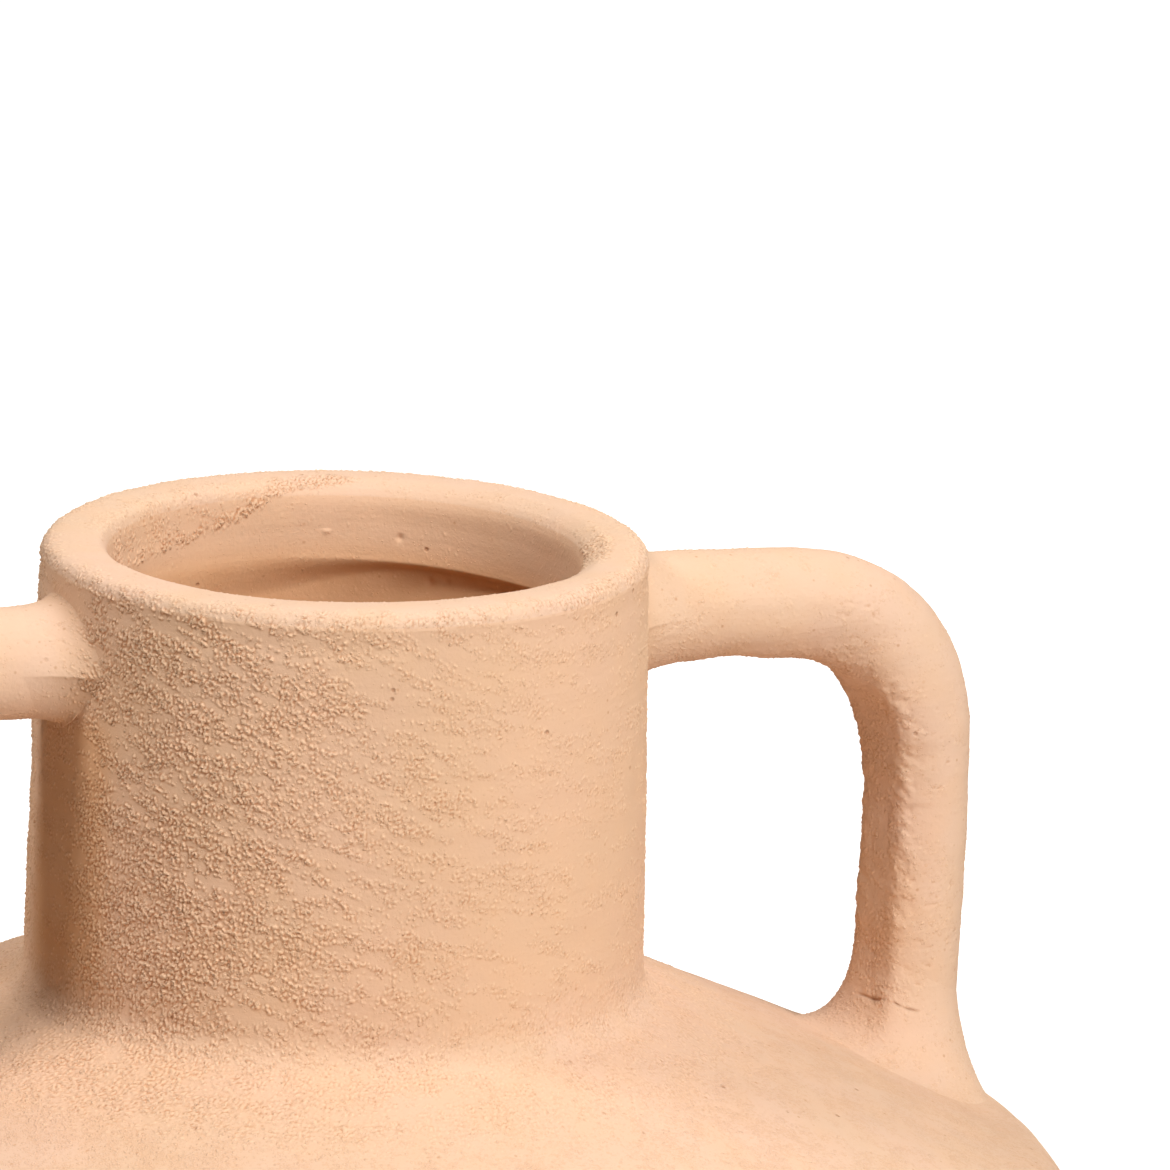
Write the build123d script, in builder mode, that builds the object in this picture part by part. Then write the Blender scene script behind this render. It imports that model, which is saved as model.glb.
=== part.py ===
from build123d import *
import os
from math import cos, radians, sin, sqrt, tan

# A two-handled vase of hand-built terracotta, in millimetres and degrees.
# It stands on z = 0 with its axis on Z, and its two handles lie along X.

# Base slab
base_radius = 80
base_slab_thickness = 12
base_edge_rounding = 3

# Body, from the slab up to the foot of the neck
belly_radius = 154
belly_seam_height = 190
body_wall = 10
shoulder_turn_radius = 32
shoulder_slope = 24.5

# Neck, which narrows a little towards the mouth
neck_foot_radius = 62
neck_top_radius = 60
neck_wall = 12.5
neck_height = 88
neck_fillet_radius = 8
shoulder_upturn = 9

# Rim coil
rim_height = 10
rim_outer_rounding = 3.5
rim_inner_rounding = 3

# Handles: a bent rod each, with a level arm and an upright leg
handle_rod_radius = 11
handle_bend_radius = 31
handle_drop = 19.5
handle_inset = 26.5

# Collars that lute the handles to the neck
collar_lip = 0.5
neck_collar_length = 16
neck_collar_flare = 4

# Collars that lute the handles to the shoulder
foot_collar_rise = 20
foot_collar_waist_rise = 9
foot_collar_waist_flare = 2
foot_collar_flare = 8
foot_collar_lean = 2
foot_collar_bite = 5

slope = radians(shoulder_slope)
belly_taper = belly_radius - base_radius
belly_arc_radius = (belly_taper**2 + belly_seam_height**2) / (2 * belly_taper)


def belly_reach(height, inset):
    """Radius of the lower body at a height, inset from its outside."""
    arc_centre = belly_radius - belly_arc_radius
    return arc_centre + sqrt((belly_arc_radius - inset) ** 2 - (belly_seam_height - height) ** 2)


def shoulder_start(inset):
    """Radius and height at which the turn above the widest ring runs out into the straight shoulder."""
    turn = shoulder_turn_radius - inset
    radius = belly_radius - shoulder_turn_radius + turn * sin(slope)
    return radius, belly_seam_height + turn * cos(slope)


def shoulder_level(radius, inset):
    """Height of the straight shoulder at a radius, inset from its outside."""
    start_radius, start_height = shoulder_start(inset)
    return start_height + (start_radius - radius) * tan(slope)


neck_foot_height = shoulder_level(neck_foot_radius, 0)
vase_height = neck_foot_height + neck_height
neck_seam_height = neck_foot_height + shoulder_upturn
rim_seam_height = vase_height - rim_height
throat_radius = neck_foot_radius - neck_wall
mouth_radius = neck_top_radius - neck_wall

arm_height = vase_height - handle_drop
leg_reach = belly_radius - handle_inset
foot_height = shoulder_level(leg_reach, 0)


def body_section(inset, floor_height, foot_radius, top_radius):
    """Half section of the vase, solid to its axis, at an inset from its outside."""
    widest = (belly_radius - inset, belly_seam_height)
    floor_edge = (belly_reach(floor_height, inset), floor_height)
    shoulder_edge = shoulder_start(inset)
    neck_foot = (foot_radius, shoulder_level(foot_radius, inset))
    with BuildSketch() as section:
        with BuildLine():
            Line((0, floor_height), floor_edge)
            TangentArc(widest, floor_edge, tangent=(0, -1))
            TangentArc(widest, shoulder_edge, tangent=(0, 1))
            Polyline(shoulder_edge, neck_foot, (top_radius, vase_height), (0, vase_height), (0, floor_height))
        make_face()
        fillet(vertices().sort_by_distance(neck_foot)[0], neck_fillet_radius)
    return section.sketch


# The outside of the vase without its handles, and its hollow from the slab's top up to the mouth
outside_section = body_section(0, 0, neck_foot_radius, neck_top_radius)
hollow_section = body_section(body_wall, base_slab_thickness, throat_radius, mouth_radius)

with BuildPart() as outside_form:
    with BuildSketch(Plane.XZ):
        add(outside_section)
    revolve(axis=Axis.Z)


def wall_between(low, high):
    """Half section of the vase's wall between two heights."""
    with BuildSketch() as wall:
        add(outside_section)
        add(hollow_section, mode=Mode.SUBTRACT)
        with Locations((0, low)):
            Rectangle(belly_radius, high - low, align=(Align.MIN, Align.MIN), mode=Mode.INTERSECT)
    return wall.sketch


with BuildPart() as base_slab:
    with BuildSketch(Plane.XZ):
        add(wall_between(0, base_slab_thickness))
        fillet(vertices().sort_by_distance((base_radius, 0))[0], base_edge_rounding)
    revolve(axis=Axis.Z)

with BuildPart() as lower_belly:
    with BuildSketch(Plane.XZ):
        add(wall_between(base_slab_thickness, belly_seam_height))
    revolve(axis=Axis.Z)

with BuildPart() as upper_belly:
    with BuildSketch(Plane.XZ):
        add(wall_between(belly_seam_height, neck_seam_height))
    revolve(axis=Axis.Z)

with BuildPart() as neck:
    with BuildSketch(Plane.XZ):
        add(wall_between(neck_seam_height, rim_seam_height))
    revolve(axis=Axis.Z)

with BuildPart() as rim:
    with BuildSketch(Plane.XZ):
        add(wall_between(rim_seam_height, vase_height))
        fillet(vertices().sort_by_distance((neck_top_radius, vase_height))[0], rim_outer_rounding)
        fillet(vertices().sort_by_distance((mouth_radius, vase_height))[0], rim_inner_rounding)
    revolve(axis=Axis.Z)

# The rod runs from inside the neck's wall to inside the shoulder, and is cut off at the vase's outside
with BuildPart() as right_handle:
    with BuildLine(Plane.XZ):
        FilletPolyline(
            (mouth_radius, arm_height),
            (leg_reach, arm_height),
            (leg_reach, belly_seam_height),
            radius=handle_bend_radius,
        )
    with BuildSketch(Plane.YZ.offset(mouth_radius)):
        with Locations((0, arm_height)):
            Circle(handle_rod_radius)
    sweep()
    add(outside_form.part, mode=Mode.SUBTRACT)

# A coil of clay round the arm, thin at its lip and flared where it meets the neck
with BuildPart() as right_neck_collar:
    arm_side = arm_height + handle_rod_radius
    lip = (neck_top_radius + neck_collar_length, arm_side + collar_lip)
    flared_end = (neck_top_radius, arm_side + neck_collar_flare)
    with BuildSketch(Plane.XZ):
        with BuildLine():
            TangentArc(lip, flared_end, tangent=(-1, 0))
            Polyline(
                flared_end,
                (mouth_radius, arm_side + neck_collar_flare),
                (mouth_radius, arm_side),
                (neck_top_radius + neck_collar_length, arm_side),
                lip,
            )
        make_face()
    revolve(axis=Axis((0, 0, arm_height), (1, 0, 0)))
    add(outside_form.part, mode=Mode.SUBTRACT)

# Rings round the leg, from the lip down into the shoulder: height above the leg's foot,
# share of the shoulder's slope that the ring leans by, radius, and shift towards the neck
skin_radius = handle_rod_radius + foot_collar_flare
foot_collar_rings = [
    (foot_collar_rise, 0, handle_rod_radius + collar_lip, 0),
    (foot_collar_waist_rise, 1 / 2, handle_rod_radius + foot_collar_waist_flare, 0),
    (0, 1, skin_radius, foot_collar_lean),
    (-foot_collar_bite, 1, skin_radius + foot_collar_bite, foot_collar_lean),
]

with BuildPart() as right_foot_collar:
    for rise, lean_share, ring_radius, shift in foot_collar_rings:
        lean = slope * lean_share
        ring_plane = Plane(
            origin=(leg_reach, 0, foot_height + rise),
            x_dir=(cos(lean), 0, -sin(lean)),
            z_dir=(sin(lean), 0, cos(lean)),
        )
        with BuildSketch(ring_plane):
            with Locations((-shift, 0)):
                Circle(ring_radius)
    loft()
    add(outside_form.part, mode=Mode.SUBTRACT)
    add(right_handle.part, mode=Mode.SUBTRACT)

# The left handle and its collars mirror the right ones
with BuildPart() as left_handle:
    mirror(right_handle.part, about=Plane.YZ)

with BuildPart() as left_neck_collar:
    mirror(right_neck_collar.part, about=Plane.YZ)

with BuildPart() as left_foot_collar:
    mirror(right_foot_collar.part, about=Plane.YZ)

base_slab.part.label = "base_slab"
lower_belly.part.label = "lower_belly"
upper_belly.part.label = "upper_belly"
neck.part.label = "neck"
rim.part.label = "rim"
right_handle.part.label = "right_handle"
right_neck_collar.part.label = "right_neck_collar"
right_foot_collar.part.label = "right_foot_collar"
left_handle.part.label = "left_handle"
left_neck_collar.part.label = "left_neck_collar"
left_foot_collar.part.label = "left_foot_collar"

pieces = [
    base_slab,
    lower_belly,
    upper_belly,
    neck,
    rim,
    right_handle,
    right_neck_collar,
    right_foot_collar,
    left_handle,
    left_neck_collar,
    left_foot_collar,
]

os.makedirs("parts", exist_ok=True)
for piece in pieces:
    export_step(piece.part, f"parts/{piece.part.label}.step")
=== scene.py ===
import math

import bpy
import numpy as np
from mathutils import Matrix, Vector


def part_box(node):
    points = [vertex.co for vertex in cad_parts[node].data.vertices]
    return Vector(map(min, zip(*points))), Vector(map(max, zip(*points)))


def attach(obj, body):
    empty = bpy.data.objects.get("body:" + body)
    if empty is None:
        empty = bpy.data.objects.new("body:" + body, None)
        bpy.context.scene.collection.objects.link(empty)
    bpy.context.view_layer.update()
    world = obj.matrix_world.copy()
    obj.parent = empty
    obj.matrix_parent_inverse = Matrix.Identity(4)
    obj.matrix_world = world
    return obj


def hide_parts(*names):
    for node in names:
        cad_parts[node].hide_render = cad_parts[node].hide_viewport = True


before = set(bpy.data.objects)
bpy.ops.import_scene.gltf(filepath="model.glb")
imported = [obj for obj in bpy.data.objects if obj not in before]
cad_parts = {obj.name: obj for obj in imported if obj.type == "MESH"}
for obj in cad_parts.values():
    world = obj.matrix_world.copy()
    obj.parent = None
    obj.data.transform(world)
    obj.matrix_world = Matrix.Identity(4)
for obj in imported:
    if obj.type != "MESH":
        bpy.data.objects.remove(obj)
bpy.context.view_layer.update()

mm = 0.001
view_azimuth = math.radians(-22.735)

# Sizes read from the frame, in metres
vase_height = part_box("rim")[1].z
rim_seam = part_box("rim")[0].z
neck_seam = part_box("neck")[0].z
belly_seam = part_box("upper_belly")[0].z
slab_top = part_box("base_slab")[1].z
belly_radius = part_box("upper_belly")[1].x
rod_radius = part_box("right_handle")[1].y
leg_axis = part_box("right_handle")[1].x - rod_radius
arm_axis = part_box("right_handle")[1].z - rod_radius

# Sizes that the frame's boxes don't hold
foot_radius = 80 * mm
foot_rounding = 3 * mm
body_wall = 10 * mm
turn_radius = 32 * mm
slope = math.radians(24.5)
neck_foot_radius = 62 * mm
neck_top_radius = 60 * mm
throat_radius = 49.5 * mm
neck_rounding = 8 * mm
bend_radius = 31 * mm

# Lower body's arc, and the straight shoulder above the turn
belly_taper = belly_radius - foot_radius
belly_arc = (belly_taper**2 + belly_seam**2) / (2 * belly_taper)
belly_arc_centre = belly_radius - belly_arc
turn_centre = belly_radius - turn_radius
turn_end = math.pi / 2 - slope


def ramp(low, high, value):
    """A smooth step from 0 to 1 as value goes from low to high."""
    t = np.clip((value - low) / (high - low), 0, 1)
    return t * t * (3 - 2 * t)


def bell(value, middle, width):
    return np.exp(-(((value - middle) / width) ** 2))


def unit(vectors):
    """The vectors made one long."""
    return vectors / np.maximum(np.linalg.norm(vectors, axis=-1, keepdims=True), 1e-12)


def ring_angles(count):
    return np.arange(count) * 2 * math.pi / count


def shoulder_level(radius, inset=0.0):
    """Height of the shoulder at a radius, inset from its outside, with the turn above the widest ring."""
    turn = turn_radius - inset
    start_radius = turn_centre + turn * math.sin(slope)
    start_height = belly_seam + turn * math.cos(slope)
    straight = start_height + (start_radius - radius) * math.tan(slope)
    reach = np.clip(radius - turn_centre, 0, turn)
    return np.where(radius < start_radius, straight, belly_seam + np.sqrt(turn**2 - reach**2))


def shoulder_sag(x, y):
    """How far the shoulder has sunk below its straight slope, most of all by the right handle's foot."""
    radius = np.hypot(x, y)
    toward = ramp(-0.3, 0.9, x / np.maximum(radius, mm))
    return (1.4 + 0.9 * toward) * mm * (1 - ramp(135 * mm, 153 * mm, radius))


def shoulder_skin(x, y):
    """Height of the shoulder's clay over a place."""
    return shoulder_level(np.minimum(np.hypot(x, y), belly_radius - mm)) - shoulder_sag(x, y)


neck_foot = float(shoulder_level(neck_foot_radius))


def neck_radius(height):
    share = (height - neck_foot) / (vase_height - neck_foot)
    return neck_foot_radius + (neck_top_radius - neck_foot_radius) * share


# Repeatable noise


def scatter(cells, seed):
    """Random numbers from 0 to 1, one for each whole-number cell."""
    factors = np.array([73856093, 19349663, 83492791], np.uint32)
    mixed = (cells.astype(np.uint32) * factors).astype(np.uint32)
    bits = mixed[:, 0] ^ mixed[:, 1] ^ mixed[:, 2] ^ np.uint32(seed * 2654435761 % 2**32)
    for shift, factor in ((15, 2246822519), (13, 3266489917)):
        bits = (bits ^ (bits >> np.uint32(shift))) * np.uint32(factor)
    return (bits ^ (bits >> np.uint32(16))).astype(np.float64) / 2**32


def noise(points, size, seed):
    """Smooth noise from -1 to 1 at the points, with lumps of about a size in millimetres."""
    places = points.reshape(-1, 3) / (np.asarray(size) * mm)
    low = np.floor(places)
    t = places - low
    t = t * t * t * (t * (6 * t - 15) + 10)
    low = low.astype(np.int64)
    first = low.min(axis=0)
    shape = low.max(axis=0) - first + 2
    table = scatter(np.indices(shape).reshape(3, -1).T + first, seed).reshape(shape)
    low -= first
    total = np.zeros(len(places))
    for corner in np.ndindex(2, 2, 2):
        weight = np.ones(len(places))
        for axis, far in enumerate(corner):
            weight *= t[:, axis] if far else 1 - t[:, axis]
        total += weight * table[tuple((low + np.array(corner)).T)]
    return (2 * total - 1).reshape(points.shape[:-1])


def layered(points, size, seed, layers=3):
    """Noise with finer and fainter noise laid over it."""
    size = np.asarray(size, float)
    total = sum(noise(points, size / 2**i, seed + i) / 2**i for i in range(layers))
    return total / sum(1 / 2**i for i in range(layers))


grain_density = 3.4 / mm**2
grain_reach = 2
# Height over its surroundings at which a grain's painted highlight or a crevice's painted shade is full
full_grain_light_height = 0.12 * mm


def scattered_grains(points, share, grit, seed):
    """Height of blunt sand grains over a grid of points, in metres, present in a share of their places.

    Grit from 0 to 1 says how bold they are."""
    rows, around = share.shape
    rng = np.random.default_rng(seed)
    down = np.linalg.norm(np.diff(points, axis=0), axis=2).mean(axis=1)
    across = np.linalg.norm(points - np.roll(points, 1, axis=1), axis=2).mean(axis=1)[:-1]
    counts = np.floor(grain_density * down * across * around + rng.random(rows - 1)).astype(int)
    row = np.repeat(np.arange(rows - 1), counts)
    row_place = row + rng.random(len(row))
    column_place = around * rng.random(len(row))
    column = column_place.astype(int) % around
    kept = rng.random(len(row)) < share[row, column]
    size_chance, height_chance = rng.random((2, len(row)))[:, kept]
    narrow = unit(rng.normal(size=(len(row), 3))[kept])
    row, column, row_place, column_place = (values[kept] for values in (row, column, row_place, column_place))
    t, u = (row_place - row)[:, None], (column_place - column)[:, None]
    after = (column + 1) % around
    centre = points[row, column] * (1 - t) * (1 - u) + points[row + 1, column] * t * (1 - u)
    centre += points[row, after] * (1 - t) * u + points[row + 1, after] * t * u
    boldness = grit[row, column]
    radius = (0.24 + 0.26 * size_chance) * (0.70 + 0.30 * boldness) * mm
    tallest = (0.14 + 0.40 * height_chance) * boldness**1.3 * mm
    squeeze = 0.5 + 3.5 * rng.random(len(row))
    height = np.zeros(share.shape)
    for step_down in range(-grain_reach, grain_reach + 2):
        for step_across in range(-grain_reach, grain_reach + 2):
            near_row = np.clip(row + step_down, 0, rows - 1)
            near_column = (column + step_across) % around
            away = points[near_row, near_column] - centre
            spread = (away**2).sum(axis=1) + squeeze * (away * narrow).sum(axis=1) ** 2
            np.maximum.at(height, (near_row, near_column), tallest * np.clip(1 - spread / radius**2, 0, 1))
    return height


def grain_light_and_shade_mask(height):
    """1 where a grain stands well above the clay about it, down to -1 in the crevices between grains: the map
    for the grains' painted highlights and painted shade.
    """
    steps = range(-2, 3)
    level = sum(np.roll(height, (i, j), axis=(0, 1)) for i in steps for j in steps) / len(steps) ** 2
    return np.clip((height - level) / full_grain_light_height, -1, 1)


def relief(points):
    """Height of the hand-finished clay above its plain form, in metres, over a grid of points."""
    height = 0.22 * mm * noise(points, 60, 11)
    height += 0.12 * mm * noise(points, 17, 12)
    height += 0.08 * mm * noise(points, 6, 13)
    height += 0.06 * mm * noise(points, (30, 30, 3), 14)
    return height


# Profiles, as points of radius and height


def steps_between(length, step):
    return max(1, round(length / step))


def line(start, end, step):
    """Points from start towards end, which is left out."""
    start, end = np.array(start), np.array(end)
    count = steps_between(np.linalg.norm(end - start), step)
    return start + (end - start) * (np.arange(count) / count)[:, None]


def arc(centre, radius, start, end, step):
    """Points on an arc between two angles, without the last one."""
    count = steps_between(abs(end - start) * radius, step)
    angles = start + (end - start) * np.arange(count) / count
    return np.array(centre) + radius * np.stack([np.cos(angles), np.sin(angles)], axis=1)


def through(knots, step):
    """Points on a smooth curve through the knots, without the last one."""
    knots = np.array(knots, float)
    padded = np.vstack([2 * knots[0] - knots[1], knots, 2 * knots[-1] - knots[-2]])
    pieces = []
    for before, start, end, after in zip(padded, padded[1:], padded[2:], padded[3:]):
        count = steps_between(np.linalg.norm(end - start), step)
        t = (np.arange(count) / count)[:, None]
        pieces.append(0.5 * (2 * start + (end - before) * t
                             + (2 * before - 5 * start + 4 * end - after) * t**2
                             + (3 * start - before - 3 * end + after) * t**3))
    return np.vstack(pieces)


def rounded_corner(before, corner, after, radius, step):
    """Points on the arc that rounds a corner, and the arc's last point."""
    before, corner, after = np.array(before), np.array(corner), np.array(after)
    first = (corner - before) / np.linalg.norm(corner - before)
    second = (after - corner) / np.linalg.norm(after - corner)
    turn = math.atan2(first[0] * second[1] - first[1] * second[0], float(first @ second))
    reach = radius * math.tan(abs(turn) / 2)
    side = math.copysign(1, turn)
    start = corner - first * reach
    centre = start + side * radius * np.array([-first[1], first[0]])
    start_angle = math.atan2(*(start - centre)[::-1])
    return arc(centre, radius, start_angle, start_angle + turn, step), corner + second * reach


# Steps between rows of points, the columns round the body, and the stretches that are outside
dense = 0.26 * mm
fine = 0.45 * mm
medium = 0.8 * mm
coarse = 1.3 * mm
hidden = 3 * mm
columns = 1600
grainy_radius = 92 * mm
cap_radius = 2 * mm
outer_count = 5


def belly_angle(height, inset=0.0):
    return math.asin((height - belly_seam) / (belly_arc - inset))


def on_arc(centre, radius, angle):
    """A point on an arc whose centre lies at the height of the widest ring."""
    return (centre + radius * math.cos(angle), belly_seam + radius * math.sin(angle))


def outer_stretches():
    """The outside from the foot to the neck's top: each piece's name with its points."""
    centre = (belly_arc_centre, belly_seam)
    rise = belly_angle(0) + foot_rounding / belly_arc / 2
    lifted = on_arc(belly_arc_centre, belly_arc, rise)
    edge, _ = rounded_corner((0, 0), (foot_radius, 0), lifted, foot_rounding, fine)
    above_edge = arc(centre, belly_arc, rise, belly_angle(slab_top), coarse)
    slab = [line((cap_radius, 0), edge[0], hidden), edge, above_edge]
    lower = [arc(centre, belly_arc, belly_angle(slab_top), 0, coarse)]
    corner = (neck_foot_radius, neck_foot)
    shoulder_start = on_arc(turn_centre, turn_radius, turn_end)
    neck_top = (neck_top_radius, vase_height)
    fillet, fillet_end = rounded_corner(shoulder_start, corner, neck_top, neck_rounding, dense)
    grainy_edge = (grainy_radius, float(shoulder_level(grainy_radius)))
    upper = [
        arc((turn_centre, belly_seam), turn_radius, 0, turn_end, medium),
        line(shoulder_start, grainy_edge, medium),
        line(grainy_edge, fillet[0], 1.4 * dense),
        fillet,
        line(fillet_end, (neck_radius(neck_seam), neck_seam), dense),
    ]
    neck = [line((neck_radius(neck_seam), neck_seam), (neck_radius(rim_seam), rim_seam), dense)]
    return [("base_slab", slab), ("lower_belly", lower), ("upper_belly", upper), ("neck", neck)]


# The rim's section: radius, and height above the vase's nominal top, in millimetres
rim_outside = ((60.05, -6.5), (60.1, -4.0), (60.2, -3.1))
rim_over = (
    (60.2, -3.1), (59.6, -1.4), (58.1, -0.3), (55.0, 0.1),
    (50.8, -0.1), (48.6, -0.6), (47.4, -1.8), (46.9, -4.0),
)


def rim_stretch():
    """Round the rim from its seam outside, over a slight ridge and the soft top, to its seam inside."""
    def placed(knots):
        return [(radius * mm, vase_height + up * mm) for radius, up in knots]

    outside = [(neck_radius(rim_seam), rim_seam)] + placed(rim_outside)
    over = placed(rim_over) + [(mouth_wall, rim_seam)]
    return [("rim", [through(outside, dense), through(over, 1.2 * dense)])]


mouth_wall = 46.7 * mm
ledge_depth = 15.6 * mm
ledge_reach = 3.8 * mm
ledge_foot = 30 * mm


def inner_stretches():
    """The inside from the rim's seam down to the floor: each piece's name with its points."""
    below_ledge = (mouth_wall, vase_height - ledge_foot)
    neck = [
        line((mouth_wall, rim_seam), below_ledge, 1.2 * dense),
        line(below_ledge, (throat_radius, neck_seam), coarse),
    ]
    inner_turn = turn_radius - body_wall
    shoulder_start = on_arc(turn_centre, inner_turn, turn_end)
    corner = (throat_radius, float(shoulder_level(throat_radius, body_wall)))
    throat_end = (throat_radius, neck_seam)
    fillet, fillet_end = rounded_corner(throat_end, corner, shoulder_start, neck_rounding, coarse)
    upper = [
        line(throat_end, fillet[0], hidden),
        fillet,
        line(fillet_end, shoulder_start, hidden),
        arc((turn_centre, belly_seam), inner_turn, turn_end, 0, hidden),
    ]
    centre = (belly_arc_centre, belly_seam)
    reach = belly_arc - body_wall
    lower = [arc(centre, reach, 0, belly_angle(slab_top, body_wall), hidden)]
    floor_edge = (belly_arc_centre + reach * math.cos(belly_angle(slab_top, body_wall)), slab_top)
    floor_middle = (cap_radius, slab_top)
    slab = [line(floor_edge, floor_middle, hidden), np.array([floor_middle])]
    return [("neck", neck), ("upper_belly", upper), ("lower_belly", lower), ("base_slab", slab)]


def slopes(values):
    """Differences along the rows of an array."""
    return np.gradient(values, axis=0)


def spun(profile):
    """Rings of points and of normals, made by turning the profile round the vase's axis."""
    tangents = unit(slopes(profile))
    outward = np.stack([tangents[:, 1], -tangents[:, 0]], axis=1)
    angles = ring_angles(columns)
    turn = np.stack([np.cos(angles), np.sin(angles)], axis=1)

    def rings(pairs):
        height = np.broadcast_to(pairs[:, None, 1:], (len(pairs), columns, 1))
        return np.concatenate([pairs[:, None, :1] * turn, height], axis=2)

    return rings(profile), rings(outward)


def body_grid():
    """Rings of the whole body, displaced, with normals, looks and the rows of each piece's stretches."""
    rows, spans = [], []
    for name, parts in outer_stretches() + rim_stretch() + inner_stretches():
        stretch = np.vstack(parts)
        spans.append((name, len(rows), len(rows) + len(stretch)))
        rows.extend(stretch)
    points, normals = spun(np.array(rows))
    upper = next(slice(low, high) for name, low, high in spans if name == "upper_belly")
    sag = shoulder_sag(points[upper, :, 0], points[upper, :, 1])
    points[upper, :, 2] -= sag * (1 - ramp(neck_foot + 3 * mm, neck_seam, points[upper, :, 2]))
    inside = (np.arange(len(rows)) >= spans[outer_count][1])[:, None]
    share, grit, raw_clay_and_shade = body_sand(points, inside)
    grained = has_grains(points)
    grain_height = scattered_grains(points, share * grained, grit, 21)
    height = relief(points) + np.where(inside, mouth_marks(points), body_bulge(points) + edge_wear(points))
    rugged = layered(points, (1.4, 1.4, 0.9), 25, 2)
    height += grain_height + 0.16 * mm * rugged * share * grit * grained
    height *= ramp(0, 4 * mm, points[..., 2])
    points = raised_mouth(points + normals * height[:, :, None])
    looks = look_values(share * (1 - 0.6 * grained), grit, grain_light_and_shade_mask(grain_height), raw_clay_and_shade)
    return points, grid_normals(points), looks, spans


def has_grains(points):
    """1 where single grains are modelled: on the neck, the mouth and the shoulder's inner part."""
    radius = radius_of(points)
    near = 1 - ramp(grainy_radius - 14 * mm, grainy_radius - 2 * mm, radius)
    return near * ramp(neck_foot - 30 * mm, neck_foot - 20 * mm, points[..., 2])


def look_values(sand, grit, grain_light_and_shade, raw_clay_and_shade=0.0, crack_and_shade=0.0):
    """The clay's looks, side by side: share of grains, how bold they are, the grains' painted highlights and
    shade, how raw the clay is with painted shade, and the crack with its painted shade.
    """
    return np.stack(np.broadcast_arrays(sand, grit, grain_light_and_shade, raw_clay_and_shade, crack_and_shade), axis=-1).astype(np.float32)


def raised_mouth(points):
    """The points with the mouth raised a little at its back, where it isn't quite level."""
    lift = 0.55 * mm * np.clip(np.cos(np.radians(azimuth_of(points) - 48)), 0, 1)
    lift = lift * ramp(vase_height - 25 * mm, vase_height, points[..., 2])
    return points + np.stack([0 * lift, 0 * lift, lift], axis=2)


def radius_of(points):
    """Distance from the vase's axis."""
    return np.hypot(points[..., 0], points[..., 1])


def azimuth_of(points):
    """Angle about the vase's axis, in degrees, from the right handle."""
    return np.degrees(np.arctan2(points[..., 1], points[..., 0]))


def angle_gap(angles, centre):
    """Difference of angles in degrees, from -180 to 180."""
    return (angles - centre + 180) % 360 - 180


# Share of grains left standing round the neck, by azimuth: thick on the left, and thin at the handles
neck_sand_azimuths = (-172, -165, -145, -120, -100, -80, -54, -22, -10, 0, 10, 25, 60, 120, 160, 172, 180)
neck_sand_shares = (
    0.35, 0.80, 0.78, 0.56, 0.42, 0.30, 0.24, 0.24, 0.16, 0.1, 0.16, 0.35, 0.4, 0.6, 0.7, 0.3, 0.25,
)
left_handle_azimuth = 186
bold_edge_azimuth = -23
wiping_slope = 0.36

# Lower edge of the rough patch inside the mouth: depth in millimetres, by azimuth
rough_azimuths = (65, 76, 84, 89, 96, 102, 110, 128, 152)
rough_depths = (0.3, 1.0, 2.5, 5.0, 7.5, 8.5, 10.0, 11.5, 12.0)


def wiped_chains(points):
    """Noise drawn out along the strokes in which the neck was wiped, which fall to the right of the front."""
    across = points[..., 0] * math.cos(view_azimuth) + points[..., 1] * math.sin(view_azimuth)
    toward = points[..., 1] * math.cos(view_azimuth) - points[..., 0] * math.sin(view_azimuth)
    turned_points = np.stack([across, toward, points[..., 2] + wiping_slope * across], axis=2)
    return layered(turned_points, (7, 7, 1.5), 31, 2)


def skin_sand(points, patches, clumps):
    """Share, boldness, and rawness with painted shade, as in body_sand, for the neck and the shoulder."""
    radius, azimuth = radius_of(points), azimuth_of(points)
    on_neck = ramp(neck_foot - 2 * mm, neck_foot + 12 * mm, points[..., 2])
    around = np.interp(azimuth, neck_sand_azimuths, neck_sand_shares, period=360)
    near_neck = ramp(102 * mm, 74 * mm, radius) * around * (1 - on_neck)
    shoulder = 0.42 + 0.3 * patches + 0.7 * clumps + 0.6 * near_neck
    share = around + 1.05 * wiped_chains(points) + 0.35 * patches + 0.4 * clumps
    share = share * on_neck + shoulder * (1 - on_neck)
    grit = 0.42 + (0.95 * around - 0.12) * on_neck + 0.4 * near_neck
    # Painted shadow: the clay is coloured darker and redder in a stripe under the left arm, where the arm's
    # shadow falls, and near_neck paints the same shade on the shoulder at the neck's foot; the rest is the
    # neck's own redder clay
    from_arm = np.abs(angle_gap(azimuth, left_handle_azimuth))
    painted_arm_shadow = ramp(18, 9, from_arm) * ramp(26 * mm, 32 * mm, vase_height - points[..., 2])
    return share, grit, (0.3 + 0.65 * painted_arm_shadow) * on_neck + 0.3 * near_neck


def rough_patch(azimuth, depth, radius):
    """How rough the patch at the back inside the mouth is, from 0 to 1."""
    above = np.interp(azimuth, rough_azimuths, rough_depths) * mm - depth
    rough = ramp(-0.4 * mm, 0.4 * mm, above) * (0.4 + 0.6 * bell(above, 0, 2.6 * mm))
    rough = rough * ramp(62, 68, azimuth) * ramp(158, 142, azimuth)
    return rough * ramp(54 * mm, 51 * mm, radius)


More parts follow.
